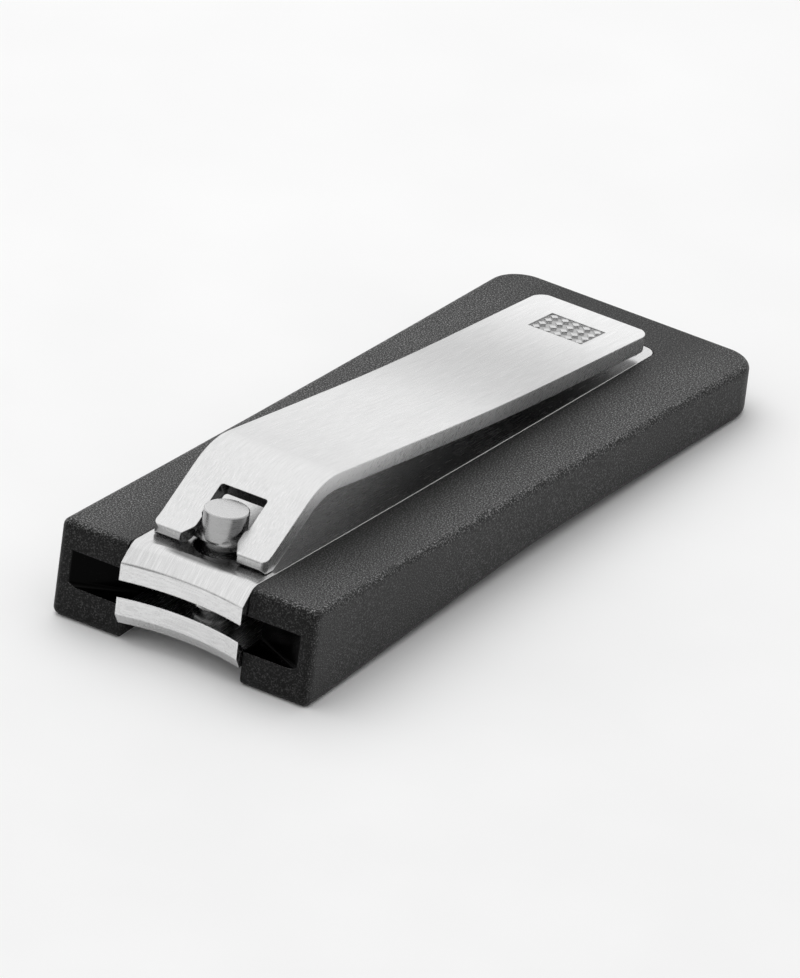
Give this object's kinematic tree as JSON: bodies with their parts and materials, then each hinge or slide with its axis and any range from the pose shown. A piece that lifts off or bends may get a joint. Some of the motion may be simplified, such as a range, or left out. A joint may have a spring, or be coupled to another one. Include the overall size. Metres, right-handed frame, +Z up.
{
  "type": "nail clipper",
  "caption": "Pocket nail clipper: two steel leaves with hollow jaws in a wedge-shaped plastic casing, pressed by a forked steel lever that swivels on a pin.",
  "frame": {"origin": "under the middle of the clipper's footprint, on the table it rests on", "axes": "+Z up from the table, -Y towards the jaws, +Y towards the tail, +X across; the casing's flat top leans 3.6 degrees down towards the tail"},
  "size_m": [0.0304, 0.0862, 0.0169],
  "materials": {
    "casing_plastic": "fine spark-eroded grain, matte",
    "cover_plastic": "fine grain, matte",
    "leaf_steel": "brushed across the leaf, ground at the cutting edges",
    "rivet_steel": "turned, satin",
    "pin_steel": "turned, satin",
    "collar_steel": "bright",
    "lever_steel": "brushed, satin"
  },
  "bodies": {
    "clipper_base": {"casing": "casing_plastic", "base_cover": "cover_plastic", "lower_leaf": "leaf_steel", "tail_rivets": "rivet_steel"},
    "upper_jaw": {"upper_leaf": "leaf_steel"},
    "pin_group": {"pin": "pin_steel", "collar": "collar_steel"},
    "lever_arm": {"lever": "lever_steel"}
  },
  "joints": [
    {"name": "jaw_close", "type": "hinge", "parent": "clipper_base", "child": "upper_jaw", "pos_m": [0, 0.03646, 0.00425], "axis": [1, 0, 0], "range_deg": [0, 1.22], "stiffness_Nm_per_rad": 4},
    {"name": "pin_swivel", "type": "hinge", "parent": "clipper_base", "child": "pin_group", "pos_m": [0, -0.0355, 0.01026], "axis": [0, 0.0611, 0.9981], "continuous": true},
    {"name": "lever_flip", "type": "hinge", "parent": "pin_group", "child": "lever_arm", "pos_m": [0, -0.03764, 0.01139], "axis": [1, 0, 0], "range_deg": [0, 150]}
  ]
}
